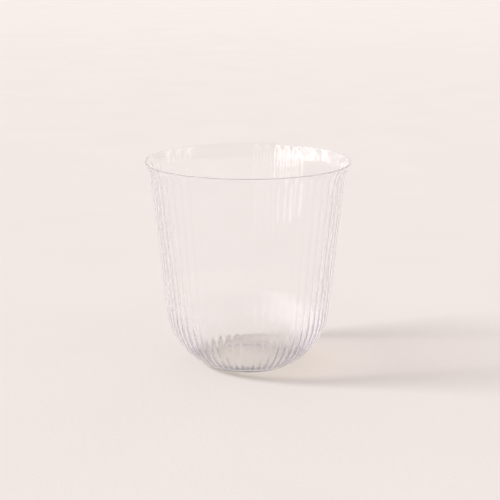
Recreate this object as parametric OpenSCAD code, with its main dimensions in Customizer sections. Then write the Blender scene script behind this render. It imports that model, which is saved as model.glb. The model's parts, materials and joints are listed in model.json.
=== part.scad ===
// A thin blown juice glass: one piece of clear glass, smooth outside and finely ribbed inside.
// The outside and the hollow under the foot are turned. The inside is lofted through ribbed rings, from the
// inner floor up to the lip, and cut out of the turned body.

/* [Overall] */
// Width across the outside of the lip
rim_diameter = 80; // [74:0.5:88]
// Height from the table to the top of the lip
height = 81.5; // [74:0.5:100]
// Width of the foot where the belly curve meets the table
foot_diameter = 33.5; // [29:0.5:38]

/* [Wall] */
// Thickness of the wall at the belly, between the ribs
wall_thickness = 0.9; // [0.8:0.05:1.3]
// Lean of the straight wall from upright, in degrees
wall_taper = 6; // [4:0.25:8]
// Radius of the belly curve from the foot up to the straight wall, outside
belly_radius = 26.5; // [22:0.5:32]

/* [Lip] */
// Thickness of the wall at the lip
lip_thickness = 0.5; // [0.45:0.05:0.8]
// Radius that rounds both edges of the lip
lip_round = 0.2; // [0.1:0.01:0.22]
// Height of the stretch that flares out to the lip
flare_height = 6.75; // [5:0.25:9]
// Radius of the flare, outside
flare_radius = 17; // [14:0.5:26]

/* [Base] */
// Thickness of the glass from the table to the inner floor
base_thickness = 3.5; // [2.5:0.1:5]
// Radius of the corner between the inner floor and the wall
floor_round = 0.5; // [0.3:0.1:2]
// Radius that rounds the heel where it meets the table
heel_round = 1.2; // [0.6:0.1:2]
// Width of the flat ring that the glass stands on
foot_ring = 4; // [3:0.25:6]
// Depth of the hollow under the foot
hollow_depth = 0.3; // [0.2:0.05:1]

/* [Ribs] */
// Number of ribs round the inside
rib_count = 60; // [40:2:64]
// Height of the ribs above the inside of the wall
rib_depth = 0.3; // [0.1:0.05:0.4]
// Plain band between the ends of the ribs and the top of the lip
rib_stop = 0.6; // [0.4:0.1:5]
// Length over which the ribs fade out below that band
rib_run = 2.5; // [1:0.5:10]

/* [Hidden] */

// Flat faces across one rib, with a crest at the meeting of two flutes
rib_faces = 3;
columns = rib_count * rib_faces;
$fn = columns;
// Steps along each curve of the turned outside
hollow_steps = 8;
heel_steps = 4;
belly_steps = 20;
flare_steps = 8;
lip_steps = 3;
// Steps along each curve of the ribbed inside
floor_steps = 2;
bowl_steps = 8;
mouth_steps = 5;
// Length by which a cut runs past the face that it opens
overrun = 2;

rim_radius = rim_diameter / 2;
foot_radius = foot_diameter / 2;

// Flare and lip. The flare's centre lies outside the glass.
flare_start = height - flare_height;
flare_z = flare_start - flare_radius * sin(wall_taper);
lip_z = height - lip_round;
lip_r = rim_radius - lip_round;
lip_angle = asin((lip_z - flare_z) / (flare_radius + lip_round));
flare_r = lip_r + (flare_radius + lip_round) * cos(lip_angle);
mouth_radius = flare_radius + lip_thickness;
mouth_angle = asin((lip_z - flare_z) / (mouth_radius - lip_round));
mouth_r = flare_r - (mouth_radius - lip_round) * cos(mouth_angle);

// Belly: the arc that touches the straight wall and ends at the foot's width
function wall_r(z) = flare_r - flare_radius * cos(wall_taper) + (z - flare_start) * tan(wall_taper);
foot_gap = (wall_r(0) - foot_radius) * cos(wall_taper);
belly_rise = sqrt(foot_gap * (2 * belly_radius - foot_gap)) * cos(wall_taper) - foot_gap * sin(wall_taper);
belly_r = wall_r(belly_rise) - belly_radius * cos(wall_taper);
belly_z = belly_rise + belly_radius * sin(wall_taper);

// Rounded heel between the belly and the table
heel_angle = asin((belly_z - heel_round) / (belly_radius - heel_round));
heel_r = belly_r + (belly_radius - heel_round) * cos(heel_angle);

// Hollow under the foot
hollow_r = heel_r - foot_ring;
hollow_radius = (hollow_r ^ 2 + hollow_depth ^ 2) / (2 * hollow_depth);
hollow_angle = asin(hollow_r / hollow_radius);

// Inside of the belly, about the same centre as the outside, and its corner at the floor
bowl_radius = belly_radius - wall_thickness;
floor_z = base_thickness + floor_round;
floor_angle = asin((belly_z - floor_z) / (bowl_radius - floor_round));
floor_r = belly_r + (bowl_radius - floor_round) * cos(floor_angle);

// Points [radius, height] along an arc
function arc(r, z, radius, from, to, steps) = [
    for (i = [0 : steps])
    let (a = from + (to - from) * i / steps)
    [r + radius * cos(a), z + radius * sin(a)]
];
function after_first(points) = [for (i = [1 : len(points) - 1]) points[i]];

outside = concat(
    arc(0, hollow_depth - hollow_radius, hollow_radius, 90, 90 - hollow_angle, hollow_steps),
    arc(heel_r, heel_round, heel_round, -90, -heel_angle, heel_steps),
    after_first(arc(belly_r, belly_z, belly_radius, -heel_angle, -wall_taper, belly_steps)),
    arc(flare_r, flare_z, flare_radius, 180 - wall_taper, 180 - lip_angle, flare_steps),
    after_first(arc(lip_r, lip_z, lip_round, -lip_angle, 90, lip_steps)),
    [[0, height]]
);
inside = concat(
    arc(floor_r, floor_z, floor_round, -90, -floor_angle, floor_steps),
    after_first(arc(belly_r, belly_z, bowl_radius, -floor_angle, -wall_taper, bowl_steps)),
    arc(flare_r, flare_z, mouth_radius, 180 - wall_taper, 180 - mouth_angle, mouth_steps),
    after_first(arc(mouth_r, lip_z, lip_round, 180 - mouth_angle, 90, lip_steps)),
    [[mouth_r, height + overrun]]
);

// Share of the ribs' full height at a height of the glass, and round one rib
function height_share(z) = max(0, min(1, (height - rib_stop - z) / rib_run));
function rib_share(turn) = 1 - abs(sin(rib_count * turn / 2));
function ring(point) = [
    for (i = [0 : columns - 1])
    let (turn = 360 * i / columns)
    let (r = point[0] - rib_depth * height_share(point[1]) * rib_share(turn))
    [r * cos(turn), r * sin(turn), point[1]]
];

// A solid through rings of equal point counts, closed by its first and last ring
module loft(rings) {
    count = len(rings[0]);
    last = len(rings) - 1;
    sides = [
        for (k = [0 : last - 1], i = [0 : count - 1])
        let (low = k * count, high = low + count, next = (i + 1) % count)
        each [[low + i, high + i, high + next], [low + i, high + next, low + next]]
    ];
    first_cap = [for (i = [0 : count - 1]) i];
    last_cap = [for (i = [0 : count - 1]) last * count + count - 1 - i];
    polyhedron(points = [for (r = rings) each r], faces = concat(sides, [first_cap, last_cap]));
}

module ribbed_inside() {
    loft([for (point = inside) ring(point)]);
}

module tumbler() {
    color("lightcyan", 0.6)
    difference() {
        rotate_extrude() polygon(outside);
        ribbed_inside();
    }
}

tumbler();
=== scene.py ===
# %% [markdown]
# # A ribbed juice glass
#
# This lesson dresses one thin juice glass, blown in one piece: smooth outside, finely ribbed
# inside, with a round belly, a small flat foot and a lip that flares a little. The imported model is
# loaded first and gives the real size and place. The glass is then drawn again with a finer outline
# and rounder ribs, because clear glass shows every facet: light bends at each of them.

# %% Load the frame
import bmesh
import bpy
import json
import math
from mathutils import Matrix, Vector

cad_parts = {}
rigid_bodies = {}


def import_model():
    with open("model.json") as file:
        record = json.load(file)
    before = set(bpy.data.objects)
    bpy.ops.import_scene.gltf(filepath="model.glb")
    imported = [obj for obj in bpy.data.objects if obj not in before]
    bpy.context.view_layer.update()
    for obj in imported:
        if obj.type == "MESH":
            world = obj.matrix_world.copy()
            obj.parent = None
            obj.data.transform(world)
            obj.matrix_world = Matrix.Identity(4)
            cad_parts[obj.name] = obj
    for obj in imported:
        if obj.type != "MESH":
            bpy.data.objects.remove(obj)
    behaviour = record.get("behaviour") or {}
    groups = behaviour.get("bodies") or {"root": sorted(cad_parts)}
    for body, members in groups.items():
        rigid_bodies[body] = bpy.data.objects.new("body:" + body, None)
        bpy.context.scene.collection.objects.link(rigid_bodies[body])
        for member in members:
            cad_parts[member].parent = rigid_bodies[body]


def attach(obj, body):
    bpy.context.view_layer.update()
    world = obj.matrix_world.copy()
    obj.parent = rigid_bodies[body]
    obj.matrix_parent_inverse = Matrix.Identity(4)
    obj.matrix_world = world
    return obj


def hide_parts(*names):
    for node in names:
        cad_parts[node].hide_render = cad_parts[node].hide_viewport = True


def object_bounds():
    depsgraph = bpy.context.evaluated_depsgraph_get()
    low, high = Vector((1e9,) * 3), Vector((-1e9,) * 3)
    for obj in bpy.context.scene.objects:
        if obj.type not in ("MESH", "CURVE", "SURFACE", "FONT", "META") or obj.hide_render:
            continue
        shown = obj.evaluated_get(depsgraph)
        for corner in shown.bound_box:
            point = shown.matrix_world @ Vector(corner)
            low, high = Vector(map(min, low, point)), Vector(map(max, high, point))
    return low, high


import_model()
cad_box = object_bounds()
print("CAD box in metres:", [[round(x, 5) for x in corner] for corner in cad_box])

# %% [markdown]
# ## The sizes of the glass
#
# Every size is in millimetres, or in degrees for the lean of the wall, and is the one that the
# part's source has. They could all be measured on the loaded mesh, but named values are easier to
# read. The width of the lip and the height do come from the frame, so that the drawing can't drift
# away from the solid.

# %% Name the sizes
MM = 0.001
RIM_RADIUS = (cad_box[1][0] - cad_box[0][0]) / 2 / MM
HEIGHT = (cad_box[1][2] - cad_box[0][2]) / MM
FOOT_RADIUS = 16.75
WALL = 0.9
LIP_WALL = 0.5
TAPER = 6.0
BELLY_RADIUS = 26.5
FLARE_HEIGHT = 6.75
FLARE_RADIUS = 17.0
LIP_ROUND = 0.2
BASE = 3.5
FLOOR_ROUND = 0.5
HEEL_ROUND = 1.2
FOOT_RING = 4.0
HOLLOW_DEPTH = 0.3
print("lip radius and height in mm:", round(RIM_RADIUS, 2), round(HEIGHT, 2))

# %% [markdown]
# ## Where the flare and the lip are centred
#
# The outline of a blown glass has no corners: it is a chain of arcs and straight lines that run
# smoothly into each other. It could be one free curve, but then no size in it has a name. Two arcs
# meet smoothly when the meeting point and both centres lie on one line, so each centre follows from
# the one before it. The work starts at the lip, where the outside and the inside of the flare share
# one centre beyond the glass.


# %% Centre the flare and the lip
def sine(degrees):
    return math.sin(math.radians(degrees))


def cosine(degrees):
    return math.cos(math.radians(degrees))


def arcsine(ratio):
    return math.degrees(math.asin(ratio))


flare_start = HEIGHT - FLARE_HEIGHT
flare_z = flare_start - FLARE_RADIUS * sine(TAPER)
lip_z = HEIGHT - LIP_ROUND
lip_r = RIM_RADIUS - LIP_ROUND
lip_angle = arcsine((lip_z - flare_z) / (FLARE_RADIUS + LIP_ROUND))
flare_r = lip_r + (FLARE_RADIUS + LIP_ROUND) * cosine(lip_angle)
mouth_radius = FLARE_RADIUS + LIP_WALL
mouth_angle = arcsine((lip_z - flare_z) / (mouth_radius - LIP_ROUND))
mouth_r = flare_r - (mouth_radius - LIP_ROUND) * cosine(mouth_angle)
print("the lip leans out by", round(lip_angle, 2), "degrees")

# %% [markdown]
# ## Where the belly and the foot are centred
#
# The straight wall runs down from the flare, and the belly is the one arc that touches it and ends
# at the width of the foot. Inside and outside are drawn about the same centre, as glass of an even
# thickness is. The heel, the corner of the inner floor and the shallow hollow under the foot follow
# from the belly.


# %% Centre the belly and the foot
def wall_r(z):
    wall_top_r = flare_r - FLARE_RADIUS * cosine(TAPER)
    return wall_top_r + (z - flare_start) * math.tan(math.radians(TAPER))


foot_gap = (wall_r(0) - FOOT_RADIUS) * cosine(TAPER)
belly_chord = math.sqrt(foot_gap * (2 * BELLY_RADIUS - foot_gap))
belly_top = belly_chord * cosine(TAPER) - foot_gap * sine(TAPER)
belly_r = wall_r(belly_top) - BELLY_RADIUS * cosine(TAPER)
belly_z = belly_top + BELLY_RADIUS * sine(TAPER)
heel_angle = arcsine((belly_z - HEEL_ROUND) / (BELLY_RADIUS - HEEL_ROUND))
heel_r = belly_r + (BELLY_RADIUS - HEEL_ROUND) * cosine(heel_angle)
bowl_radius = BELLY_RADIUS - WALL
floor_z = BASE + FLOOR_ROUND
floor_angle = arcsine((belly_z - floor_z) / (bowl_radius - FLOOR_ROUND))
floor_r = belly_r + (bowl_radius - FLOOR_ROUND) * cosine(floor_angle)
hollow_r = heel_r - FOOT_RING
hollow_radius = (hollow_r**2 + HOLLOW_DEPTH**2) / (2 * HOLLOW_DEPTH)
hollow_angle = arcsine(hollow_r / hollow_radius)
print("the belly ends", round(belly_top, 2), "mm up")
print("the foot is flat out to", round(heel_r, 2), "mm")

# %% [markdown]
# ## Draw the section with a compass
#
# The section is half of the glass cut down the middle. It could be a list of worked-out points, but
# operators draw it as a person would: a single vertex, the pen, is spun round each arc's centre, as
# a compass draws, and pulled along each straight line. The chain starts on the axis under the foot
# and goes out and up the outside. Each arc has its own count of steps, with the most at the belly,
# which bends most of the light.


# %% Draw the outside
def point(r, z):
    return Vector((r * MM, 0, z * MM))


def pull(bm, pen, r, z, steps=1):
    """Draws a straight line from the pen in equal steps and returns the new end."""
    stride = (point(r, z) - pen.co) / steps
    for _ in range(steps):
        pen = bmesh.ops.extrude_vert_indiv(bm, verts=[pen])["verts"][0]
        bmesh.ops.translate(bm, verts=[pen], vec=stride)
    return pen


def swing(bm, pen, r, z, degrees, steps):
    """Draws an arc round a centre, anticlockwise for positive degrees, and returns the new end."""
    made = bmesh.ops.spin(
        bm, geom=[pen], cent=point(r, z), axis=(0, -1, 0), angle=math.radians(degrees), steps=steps
    )
    return [part for part in made["geom_last"] if isinstance(part, bmesh.types.BMVert)][0]


HOLLOW_STEPS = 6
RING_STEPS = 2
HEEL_STEPS = 4
BELLY_STEPS = 40
WALL_STEPS = 4
FLARE_STEPS = 8
bm = bmesh.new()
pen = bmesh.ops.create_vert(bm, co=point(0, HOLLOW_DEPTH))["vert"][0]
pen = swing(bm, pen, 0, HOLLOW_DEPTH - hollow_radius, -hollow_angle, HOLLOW_STEPS)
pen = pull(bm, pen, heel_r, 0, RING_STEPS)
pen = swing(bm, pen, heel_r, HEEL_ROUND, 90 - heel_angle, HEEL_STEPS)
pen = swing(bm, pen, belly_r, belly_z, heel_angle - TAPER, BELLY_STEPS)
pen = pull(bm, pen, wall_r(flare_start), flare_start, WALL_STEPS)
pen = swing(bm, pen, flare_r, flare_z, TAPER - lip_angle, FLARE_STEPS)
print("outside:", len(bm.verts), "vertices")

# %% [markdown]
# The lip of such a glass is cut, ground and melted round, so a small arc goes over it on each side.
# Then the pen comes down the inside to the middle of the inner floor. The two counts say which
# vertices lie on the ribbed stretch, between the lip's arc and the flat floor.

# %% Draw the lip and the inside
LIP_OUT_STEPS = 7
LIP_IN_STEPS = 5
BOWL_STEPS = 16
CORNER_STEPS = 8
FLOOR_STEPS = 3
bowl_top = (belly_r + bowl_radius * cosine(TAPER), belly_z - bowl_radius * sine(TAPER))
pen = swing(bm, pen, lip_r, lip_z, 90 + lip_angle, LIP_OUT_STEPS)
pen = pull(bm, pen, mouth_r, HEIGHT)
pen = swing(bm, pen, mouth_r, lip_z, 90 - mouth_angle, LIP_IN_STEPS)
ribs_from = len(bm.verts)
pen = swing(bm, pen, flare_r, flare_z, mouth_angle - TAPER, FLARE_STEPS)
pen = pull(bm, pen, *bowl_top, WALL_STEPS)
pen = swing(bm, pen, belly_r, belly_z, TAPER - floor_angle, BOWL_STEPS)
pen = swing(bm, pen, floor_r, floor_z, floor_angle - 90, CORNER_STEPS)
ribs_to = len(bm.verts)
pen = pull(bm, pen, 0, BASE, FLOOR_STEPS)
print("whole section:", len(bm.verts), "vertices, of which", ribs_to - ribs_from, "carry ribs")

# %% [markdown]
# ## How deep the ribs are
#
# The ribs come from a fluted mould: the hot glass is pressed into it, taken out and blown wider,
# and the flutes move to the inside as low ridges. They are deepest at the belly, and the blowing
# draws them out up the wall, so they get shallower there and die away just under the lip. The solid
# keeps one depth up the wall; the two differ by about 0.2 mm. Each vertex of the section carries
# its own depth as a number, which the spin copies along.

# %% Note the depth of the ribs
RIB_DEPTH = 0.3
RIB_STOP = 0.6
RIB_RUN = 2.5
WALL_SHARE = 0.35
STRETCH_Z = (16, 36)
SHOWN_Z = (10, 30, 60, 80)


def depth_at(z):
    """The ribs' depth in mm at a height: full at the belly, less up the wall, none at the lip."""
    stretched = max(0, min(1, (z - STRETCH_Z[0]) / (STRETCH_Z[1] - STRETCH_Z[0])))
    fading = max(0, min(1, (HEIGHT - RIB_STOP - z) / RIB_RUN))
    return RIB_DEPTH * fading * (1 - (1 - WALL_SHARE) * stretched)


rib_depth = bm.verts.layers.float.new("rib_depth")
bm.verts.ensure_lookup_table()
for vert in bm.verts[ribs_from:ribs_to]:
    vert[rib_depth] = depth_at(vert.co.z / MM) * MM
for z in SHOWN_Z:
    print("the ribs are", round(depth_at(z), 3), "mm deep", z, "mm up")

# %% [markdown]
# ## Turn one rib
#
# All ribs are alike, so one is enough to draw. The section is spun through the width of one rib,
# and each vertex of the inside moves in towards the axis by the height of the rib at its angle:
# shallow hollows that meet in a ridge. The ridge is a little rounded, because hot glass never keeps
# a sharp edge.

# %% Turn one rib
RIB_COUNT = 60
STEPS_PER_RIB = 14
CREST_ROUND = 0.15
bmesh.ops.spin(
    bm, geom=bm.verts[:] + bm.edges[:], cent=(0, 0, 0), axis=(0, 0, 1),
    angle=math.tau / RIB_COUNT, steps=STEPS_PER_RIB,
)
for vert in bm.verts:
    if vert[rib_depth] > 0:
        turn = math.atan2(vert.co.y, vert.co.x)
        crest = 1 - math.hypot(math.sin(RIB_COUNT * turn / 2), CREST_ROUND)
        vert.co.xy *= 1 - vert[rib_depth] * crest / vert.co.xy.length
print("one rib:", len(bm.faces), "faces over", round(360 / RIB_COUNT, 2), "degrees")

# %% [markdown]
# ## Go round with the rib
#
# Copies of that rib go round the axis and are welded into one closed body. One full spin of the
# section would make the same glass, but then every rib is worked out again, and not just one. The
# welded body's faces are turned outwards, because light enters glass on the side that its faces
# point to.

# %% Go round and weld
WELD_MM = 0.001
CM = 10 * MM
bmesh.ops.spin(
    bm, geom=bm.verts[:] + bm.edges[:] + bm.faces[:], cent=(0, 0, 0), axis=(0, 0, 1),
    angle=math.tau * (RIB_COUNT - 1) / RIB_COUNT, steps=RIB_COUNT - 1, use_duplicate=True,
)
bmesh.ops.remove_doubles(bm, verts=bm.verts, dist=WELD_MM * MM)
bmesh.ops.recalc_face_normals(bm, faces=bm.faces)
if bm.calc_volume(signed=True) < 0:
    bmesh.ops.reverse_faces(bm, faces=bm.faces)
for face in bm.faces:
    face.smooth = True
open_edges = sum(1 for edge in bm.edges if not edge.is_manifold)
glass_cm3 = bm.calc_volume(signed=True) / CM**3
print("closed body:", open_edges, "open edges,", round(glass_cm3, 2), "cm3 of glass")

# %% [markdown]
# ## Put the glass in the frame
#
# The body becomes one object at the origin, with its place in its mesh. It rides on the only body
# of the part, which has no joints, and stands for the solid of the same name.

# %% Make the object
glass_mesh = bpy.data.meshes.new("tumbler_glass")
bm.to_mesh(glass_mesh)
bm.free()
tumbler = bpy.data.objects.new("tumbler_glass", glass_mesh)
bpy.context.scene.collection.objects.link(tumbler)
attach(tumbler, "root")
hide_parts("tumbler")
print("tumbler:", len(glass_mesh.polygons), "faces")

# %% [markdown]
# ## Clear soda-lime glass, blown and fire-polished
#
# Most table glass is soda-lime glass. Blown and fire-polished it is colourless and quite smooth, so
# the eye gets no colour from it at all, only what it bends and mirrors: pale lines where the ribs
# bend the light, a thin line at the lip, and bright patches where a window is mirrored in the far
# wall. The shader is therefore a plain clear one with glass's own IOR, and the shape does the rest.
# Two small helpers come first.


# %% Make the clear glass
def linear(hex_colour):
    """A hex sRGB colour as linear red, green and blue with a full alpha."""
    parts = [int(hex_colour[i:i + 2], 16) / 255 for i in (1, 3, 5)]
    return [c / 12.92 if c <= 0.04045 else ((c + 0.055) / 1.055) ** 2.4 for c in parts] + [1.0]


def add_node(tree, kind, settings=None, sockets=None, links=None):
    """Adds one node: its own settings, plain socket values, and links from other nodes' outputs."""
    node = tree.nodes.new(kind)
    for name, value in (settings or {}).items():
        setattr(node, name, value)
    for name, value in (sockets or {}).items():
        node.inputs[name].default_value = value
    for name, output in (links or {}).items():
        tree.links.new(output, node.inputs[name])
    return node


GLASS_COLOUR = "#FFFFFF"
GLASS_IOR = 1.5
glass = bpy.data.materials.new("soda_lime_glass_blown")
glass.use_nodes = True
tree = glass.node_tree
clear = tree.nodes["Principled BSDF"]
clear.inputs["Base Color"].default_value = linear(GLASS_COLOUR)
clear.inputs["IOR"].default_value = GLASS_IOR
clear.inputs["Transmission Weight"].default_value = 1.0
glass_mesh.materials.append(glass)
print("material:", glass.name, "with IOR", GLASS_IOR)

# %% [markdown]
# ## Waves and wipe marks
#
# Blown glass is never quite even: slow waves a finger's width across run through it, and a cloth
# leaves faint smears that take the edge off the gloss. The waves are a soft noise that bumps the
# surface, and the smears a finer noise that lifts the roughness in places. Real waves are one or
# two hundredths of a millimetre high; they are drawn a little higher, so that they show where the
# window is mirrored.

# %% Add the waves and the wipe marks
WAVE_MM = 14
WAVE_HEIGHT_MM = 0.05
WAVE_FINENESS = {"Detail": 1.0, "Roughness": 0.4}
SMEAR_MM = 6
SMEAR_FINENESS = {"Detail": 3.0, "Distortion": 0.8}
SMEAR_FROM = (0.55, 0.8)
SMEAR_ROUGHNESS = 0.02
place = add_node(tree, "ShaderNodeTexCoord")
waves = add_node(
    tree, "ShaderNodeTexNoise", sockets={"Scale": 1 / (WAVE_MM * MM), **WAVE_FINENESS},
    links={"Vector": place.outputs["Object"]},
)
waved = add_node(
    tree, "ShaderNodeBump", sockets={"Strength": 1.0, "Distance": WAVE_HEIGHT_MM * MM},
    links={"Height": waves.outputs[0]},
)
smears = add_node(
    tree, "ShaderNodeTexNoise", sockets={"Scale": 1 / (SMEAR_MM * MM), **SMEAR_FINENESS},
    links={"Vector": place.outputs["Object"]},
)
smeared = add_node(
    tree, "ShaderNodeMapRange",
    sockets={"From Min": SMEAR_FROM[0], "From Max": SMEAR_FROM[1], "To Max": SMEAR_ROUGHNESS},
    links={"Value": smears.outputs[0]},
)
tree.links.new(waved.outputs[0], clear.inputs["Normal"])
tree.links.new(smeared.outputs[0], clear.inputs["Roughness"])
print("waves every", WAVE_MM, "mm, smears every", SMEAR_MM, "mm")

# %% [markdown]
# ## Light that reaches the table through the glass
#
# A real glass lets most of the light through, so its shadow is pale and only the edges are dark. A
# path tracer finds that light very slowly. The common way round it is to let rays from lamps, and
# rays that left the table, go straight through, dimmed a little. They are dimmed more up the wall,
# where the ribs throw light aside, than in the smooth base, and most where they graze the glass.
# The colours of a Mix node are its inputs 6 and 7 and its output 2, because it has one set of
# sockets for each kind of data.

# %% Let light through
BASE_SHADOW = "#FFFEFB"
WALL_SHADOW = "#F9F8F8"
UP_Z = (6, 24)
EDGE_SHADOW = "#000000"
EDGE_BLEND = 0.5
EDGE_POWER = 5
COLOUR = {"data_type": "RGBA"}
SMOOTH = {"interpolation_type": "SMOOTHSTEP"}
axes = add_node(tree, "ShaderNodeSeparateXYZ", links={0: place.outputs["Object"]})
upward = add_node(
    tree, "ShaderNodeMapRange", SMOOTH,
    {"From Min": UP_Z[0] * MM, "From Max": UP_Z[1] * MM}, {"Value": axes.outputs["Z"]},
)
straight = add_node(
    tree, "ShaderNodeMix", COLOUR, {6: linear(BASE_SHADOW), 7: linear(WALL_SHADOW)},
    {0: upward.outputs[0]},
)
grazing = add_node(tree, "ShaderNodeLayerWeight", sockets={"Blend": EDGE_BLEND})
edge = add_node(
    tree, "ShaderNodeMath", {"operation": "POWER"}, {1: EDGE_POWER}, {0: grazing.outputs["Facing"]}
)
dimmed = add_node(
    tree, "ShaderNodeMix", COLOUR, {7: linear(EDGE_SHADOW)},
    {0: edge.outputs[0], 6: straight.outputs[2]},
)
path = add_node(tree, "ShaderNodeLightPath")
lamp_ray = add_node(
    tree, "ShaderNodeMath", {"operation": "MAXIMUM"},
    links={0: path.outputs["Is Shadow Ray"], 1: path.outputs["Is Diffuse Ray"]},
)
print("shadow tint", BASE_SHADOW, "at the base and", WALL_SHADOW, "up the wall")

# %% [markdown]
# ## Light that is caught between the walls
#
# Where two ribbed surfaces lie close together, some rays are mirrored to and fro inside the glass
# many times. A renderer has to stop at some count, and a ray that it stops is black, which would
# draw black specks. In a real glass such light goes on, a little weaker each time. So a ray that
# has met many surfaces goes straight on, dimmed by a painted shade. Low down, at the thick base and
# belly, it is a grey violet that darkens the lines there; up the wall there is hardly any. The glass
# itself has no colour. The count is lower on the straight wall, which a ray crosses in four steps,
# than at the belly, the base and the lip.

# %% Let caught light go on
LOW_COUNT = 7
WALL_COUNT = 4
# Counts are whole numbers, so a limit lies half a step below one
HALF_STEP = 0.5
WALL_Z = (20, 30)
LIP_ZONE = 7
# Painted shade for caught rays: grey violet low down, almost none up the wall
LOW_CAUGHT_SHADE = "#E4E2EB"
HIGH_CAUGHT_SHADE = "#F4F3F6"
wall_count = add_node(
    tree, "ShaderNodeMapRange", None,
    {
        "From Min": WALL_Z[0] * MM, "From Max": WALL_Z[1] * MM,
        "To Min": LOW_COUNT - HALF_STEP, "To Max": WALL_COUNT - HALF_STEP,
    },
    {"Value": axes.outputs["Z"]},
)
at_lip = add_node(
    tree, "ShaderNodeMath", {"operation": "GREATER_THAN"}, {1: (HEIGHT - LIP_ZONE) * MM},
    {0: axes.outputs["Z"]},
)
count = add_node(
    tree, "ShaderNodeMath", {"operation": "MULTIPLY_ADD"}, {1: LOW_COUNT - WALL_COUNT},
    {0: at_lip.outputs[0], 2: wall_count.outputs[0]},
)
caught = add_node(
    tree, "ShaderNodeMath", {"operation": "GREATER_THAN"},
    links={0: path.outputs["Ray Depth"], 1: count.outputs[0]},
)
caught_shade = add_node(
    tree, "ShaderNodeMix", COLOUR, {6: linear(LOW_CAUGHT_SHADE), 7: linear(HIGH_CAUGHT_SHADE)},
    {0: upward.outputs[0]},
)
print("rays go straight on after", WALL_COUNT, "surfaces on the wall and", LOW_COUNT, "elsewhere")

# %% [markdown]
# The last step of the material joins the three: clear glass for what the eye sees, and one
# see-through shader for the other two kinds of ray, each with its own tint of painted shade.

# %% Join the glass
see_through_tint = add_node(
    tree, "ShaderNodeMix", COLOUR,
    links={0: caught.outputs[0], 6: dimmed.outputs[2], 7: caught_shade.outputs[2]},
)
see_through = add_node(
    tree, "ShaderNodeBsdfTransparent", links={"Color": see_through_tint.outputs[2]}
)
goes_through = add_node(
    tree, "ShaderNodeMath", {"operation": "MAXIMUM"},
    links={0: lamp_ray.outputs[0], 1: caught.outputs[0]},
)
surface = add_node(
    tree, "ShaderNodeMixShader",
    links={0: goes_through.outputs[0], 1: clear.outputs[0], 2: see_through.outputs[0]},
)
tree.links.new(surface.outputs[0], tree.nodes["Material Output"].inputs["Surface"])
print("glass:", len(tree.nodes), "nodes")

# %% [markdown]
# ## A pale table
#
# The glass stands on something pale and quite matt, with no edge in sight. A wide disc just under
# the foot gives that: on a plane the horizon stays straight from any side. It belongs to the stage
# and not to the part.

# %% Lay the table
TABLE_RADIUS_MM = 12000
TABLE_GAP_MM = 0.05
TABLE_CORNERS = 96
bm = bmesh.new()
bmesh.ops.create_circle(bm, cap_ends=True, segments=TABLE_CORNERS, radius=TABLE_RADIUS_MM * MM)
bmesh.ops.translate(bm, verts=bm.verts, vec=(0, 0, -TABLE_GAP_MM * MM))
table_mesh = bpy.data.meshes.new("table")
bm.to_mesh(table_mesh)
bm.free()
table = bpy.data.objects.new("table", table_mesh)
bpy.context.scene.collection.objects.link(table)
print("table:", len(table_mesh.vertices), "corners")

# %% [markdown]
# ## Limewash, brushed on thin
#
# Limewash dries dead matt, in faint clouds a few fingers wide, with a fine grain of chalk. A large
# noise blends two close warm whites for the clouds and shifts the roughness with them, and a small
# noise bumps the surface for the grain. Real grains are a few tenths of a millimetre, too fine to
# show, so they are drawn at 2 mm.

# %% Paint the table
CLOUD_MM = 70
CLOUD_DETAIL = 3.0
CLOUD_COLOURS = ("#F7F0EE", "#F2EBE9")
CLOUD_ROUGHNESS = (0.9, 1.0)
GRAIN_MM = 2
GRAIN_DETAIL = 2.0
GRAIN_HEIGHT_MM = 0.06
limewash = bpy.data.materials.new("limewash_brushed")
limewash.use_nodes = True
wash = limewash.node_tree
matt = wash.nodes["Principled BSDF"]
matt.inputs["Specular IOR Level"].default_value = 0.0
ground = add_node(wash, "ShaderNodeTexCoord")
clouds = add_node(
    wash, "ShaderNodeTexNoise", sockets={"Scale": 1 / (CLOUD_MM * MM), "Detail": CLOUD_DETAIL},
    links={"Vector": ground.outputs["Object"]},
)
warm_white = add_node(
    wash, "ShaderNodeMix", COLOUR, {6: linear(CLOUD_COLOURS[0]), 7: linear(CLOUD_COLOURS[1])},
    {0: clouds.outputs[0]},
)
chalky = add_node(
    wash, "ShaderNodeMapRange",
    sockets={"To Min": CLOUD_ROUGHNESS[0], "To Max": CLOUD_ROUGHNESS[1]},
    links={"Value": clouds.outputs[0]},
)
grain = add_node(
    wash, "ShaderNodeTexNoise", sockets={"Scale": 1 / (GRAIN_MM * MM), "Detail": GRAIN_DETAIL},
    links={"Vector": ground.outputs["Object"]},
)
grained = add_node(
    wash, "ShaderNodeBump", sockets={"Strength": 1.0, "Distance": GRAIN_HEIGHT_MM * MM},
    links={"Height": grain.outputs[0]},
)
wash.links.new(warm_white.outputs[2], matt.inputs["Base Color"])
wash.links.new(chalky.outputs[0], matt.inputs["Roughness"])
wash.links.new(grained.outputs[0], matt.inputs["Normal"])
table_mesh.materials.append(limewash)
print("material:", limewash.name, "with", len(wash.nodes), "nodes")

# %% [markdown]
# ## The room that the glass shows
#
# Clear glass looks like what is round it, so the room matters more than any lamp. It is painted on
# the world, by direction: the X, Y and Z below are parts of a direction and run from -1 to 1.
# Bright walls stand all round under a dim ceiling, and the wall behind the camera is greyer. A
# beige-grey card stands at the back and to the right, above the picture: the thick base bends its
# tone into view, and so the base shows as a beige disc with a scalloped edge, as thick bases do.
# The walls come first.

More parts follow.
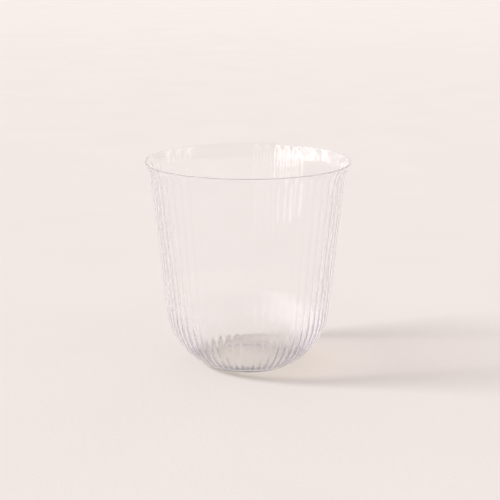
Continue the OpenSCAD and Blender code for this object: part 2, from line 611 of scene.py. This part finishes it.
# %% Paint the walls
WALLS = "#FFFDFC"
CEILING = "#6A6663"
CEILING_Z = (0.2, 0.8)
CARD = "#A69C95"
CARD_X = (-0.45, -0.15)
CARD_Z = (0.25, 0.65)
world = bpy.data.worlds.new("room")
bpy.context.scene.world = world
world.use_nodes = True
room = world.node_tree
look = add_node(room, "ShaderNodeTexCoord")
towards = add_node(room, "ShaderNodeSeparateXYZ", links={0: look.outputs["Generated"]})
overhead = add_node(
    room, "ShaderNodeMapRange", SMOOTH, {"From Min": CEILING_Z[0], "From Max": CEILING_Z[1]},
    {"Value": towards.outputs["Z"]},
)
walls = add_node(
    room, "ShaderNodeMix", COLOUR, {6: linear(WALLS), 7: linear(CEILING)},
    {0: overhead.outputs[0]},
)
card_side = add_node(
    room, "ShaderNodeMapRange", SMOOTH, {"From Min": CARD_X[0], "From Max": CARD_X[1]},
    {"Value": towards.outputs["X"]},
)
card_height = add_node(
    room, "ShaderNodeMapRange", SMOOTH, {"From Min": CARD_Z[1], "From Max": CARD_Z[0]},
    {"Value": towards.outputs["Z"]},
)
on_card = add_node(
    room, "ShaderNodeMath", {"operation": "MULTIPLY"},
    links={0: card_side.outputs[0], 1: card_height.outputs[0]},
)
with_card = add_node(
    room, "ShaderNodeMix", COLOUR, {7: linear(CARD)},
    {0: on_card.outputs[0], 6: walls.outputs[2]},
)
print("walls", WALLS, "ceiling", CEILING, "card", CARD)

# %% [markdown]
# The lowest band of the room is one plain pale tone all the way round. It is all that a camera near
# the table sees of the room, so the part has a plain backdrop from every side, and the glass shows
# the same one.

# %% Paint the front and the backdrop
FRONT = "#AAA4A0"
FRONT_Y = (-0.2, -0.9)
FRONT_Z = (0.0, 0.5)
FRONT_LOW = 0.45
BACKDROP = "#D6CFCC"
BACKDROP_Z = (0.12, 0.2)
ROOM_LEVEL = 1.3
to_front = add_node(
    room, "ShaderNodeMapRange", SMOOTH, {"From Min": FRONT_Y[0], "From Max": FRONT_Y[1]},
    {"Value": towards.outputs["Y"]},
)
front_height = add_node(
    room, "ShaderNodeMapRange", SMOOTH,
    {"From Min": FRONT_Z[0], "From Max": FRONT_Z[1], "To Min": FRONT_LOW},
    {"Value": towards.outputs["Z"]},
)
on_front = add_node(
    room, "ShaderNodeMath", {"operation": "MULTIPLY"},
    links={0: to_front.outputs[0], 1: front_height.outputs[0]},
)
with_front = add_node(
    room, "ShaderNodeMix", COLOUR, {7: linear(FRONT)},
    {0: on_front.outputs[0], 6: with_card.outputs[2]},
)
above = add_node(
    room, "ShaderNodeMapRange", SMOOTH, {"From Min": BACKDROP_Z[0], "From Max": BACKDROP_Z[1]},
    {"Value": towards.outputs["Z"]},
)
whole_room = add_node(
    room, "ShaderNodeMix", COLOUR, {6: linear(BACKDROP)},
    {0: above.outputs[0], 7: with_front.outputs[2]},
)
background = room.nodes["Background"]
room.links.new(whole_room.outputs[2], background.inputs["Color"])
background.inputs["Strength"].default_value = ROOM_LEVEL
print("room:", len(room.nodes), "nodes")

# %% [markdown]
# ## A soft key from the left
#
# The glass throws a soft shadow to the right, so the main light comes from the left, about a third
# of the way up. A lamp close by would brighten one side of the table. A sun with a wide disc lights
# it evenly and still gives a soft shadow. It isn't mirrored in the glass, which shows the window
# instead.

# %% Hang the key
KEY_LEVEL = 3.02
KEY_DISC = 17
KEY_TURNS = (0, -56, 5.7)
sun = bpy.data.lights.new("key", "SUN")
sun.energy = KEY_LEVEL
sun.angle = math.radians(KEY_DISC)
key = bpy.data.objects.new("key", sun)
bpy.context.scene.collection.objects.link(key)
key.rotation_euler = [math.radians(turn) for turn in KEY_TURNS]
key.visible_glossy = key.visible_transmission = False
print("key", 90 + KEY_TURNS[1], "degrees above the table")

# %% [markdown]
# ## A window in panes
#
# The bright patches at the upper right and the lower right of the glass are a window, mirrored in
# the far wall and in the belly and cut into columns by the ribs. It is a row of upright panes to
# the left of the camera. Those in front reach down almost to the table, because the straight wall
# leans so little that it mirrors only what is low: that makes the columns run on down the wall.
# Those at the sides start higher, so that they don't stand right behind the glass in a view from
# the other side. Dim panes give the faint columns in the middle and at the upper left. The panes
# shine on the glass only: their light on the table would clip it to white. Sizes of the room are in
# metres.


# %% Hang the window
def add_panel(name, width, height, watts, location, turns):
    """An oblong lamp in metres and degrees that the camera doesn't see."""
    lamp = bpy.data.lights.new(name, "AREA")
    lamp.shape = "RECTANGLE"
    lamp.size = width
    lamp.size_y = height
    lamp.energy = watts
    panel = bpy.data.objects.new(name, lamp)
    bpy.context.scene.collection.objects.link(panel)
    panel.location = location
    panel.rotation_euler = [math.radians(turn) for turn in turns]
    panel.visible_camera = False
    return panel


# Each pane: degrees left of the camera, or right where negative, its spread in degrees, its level
FRONT_PANES = ((12, 4, 0.4), (26, 4, 0.4), (42, 4, 1.3), (54, 4, 1.3), (66, 4, 1.3))
SIDE_PANES = (
    (75, 5, 1), (83, 5, 1), (91, 5, 1), (108, 8, 1), (-80, 6, 0.4), (-96, 6, 0.4), (-112, 6, 0.4)
)
FRONT_SILL = 0.07
SIDE_SILL = 0.3
WINDOW_TOP = 2.4
WINDOW_AWAY = 2.1
# Watts of a pane at level 1, for each degree of spread and each metre of height
PANE_WATTS = 0.32
panes = [(FRONT_SILL, *pane) for pane in FRONT_PANES] + [(SIDE_SILL, *pane) for pane in SIDE_PANES]
for sill, turn, spread, level in panes:
    tall = WINDOW_TOP - sill
    pane = add_panel(
        f"pane_{turn}", math.radians(spread) * WINDOW_AWAY, tall,
        PANE_WATTS * level * spread * tall,
        (-WINDOW_AWAY * sine(turn), -WINDOW_AWAY * cosine(turn), sill + tall / 2), (90, 0, -turn),
    )
    pane.visible_diffuse = False
print("panes", [turn for sill, turn, spread, level in panes], "degrees left of the camera")

# %% [markdown]
# One wide panel over the back of the table lifts the top of the picture, which is a little brighter
# than the rest.

# %% Hang the back panel
BACK_SIZE = (3.0, 1.5)
BACK_PLACE = (0.1, 2.6, 2.2)
BACK_WATTS = 6
STRAIGHT_DOWN = (0, 0, 0)
add_panel("back_panel", *BACK_SIZE, BACK_WATTS, BACK_PLACE, STRAIGHT_DOWN)
print("back panel", BACK_PLACE[2], "m over the table")

# %% [markdown]
# ## How often light may bend
#
# Each wall of the glass bends light twice, and a path from the camera crosses two walls and often
# the base. Twelve steps are enough for that, and the caught light goes straight on well before
# them.

# %% Set the bounces
BOUNCES = 12
cycles = bpy.context.scene.cycles
cycles.max_bounces = cycles.glossy_bounces = cycles.transmission_bounces = BOUNCES
print("bounces:", BOUNCES)

# %% [markdown]
# ## The camera
#
# The photograph looks down at the glass a little, from about half a metre. The distance and the
# tilt were fitted to the outlines of the lip and the foot, whose ellipses differ in shape, and the
# frame is square.

# %% Place the camera
FRAME_PX = 500
FOCAL_PX = 1300
DISTANCE = 513.6
TILT = 14.03
AIM_Z = 45.4
AIM_X = 0.8
SENSOR = 36
CLIP_MM = 10
lens = bpy.data.cameras.new("camera")
lens.sensor_width = SENSOR
lens.lens = FOCAL_PX / FRAME_PX * SENSOR
lens.clip_start = CLIP_MM * MM
camera = bpy.data.objects.new("camera", lens)
bpy.context.scene.collection.objects.link(camera)
camera.location = Vector((AIM_X, -DISTANCE * cosine(TILT), AIM_Z + DISTANCE * sine(TILT))) * MM
camera.rotation_euler = (math.radians(90 - TILT), 0, 0)
bpy.context.scene.camera = camera
bpy.context.scene.view_settings.view_transform = "Standard"
print("camera", DISTANCE, "mm away, tilted", TILT, "degrees, lens", round(lens.lens, 1), "mm")
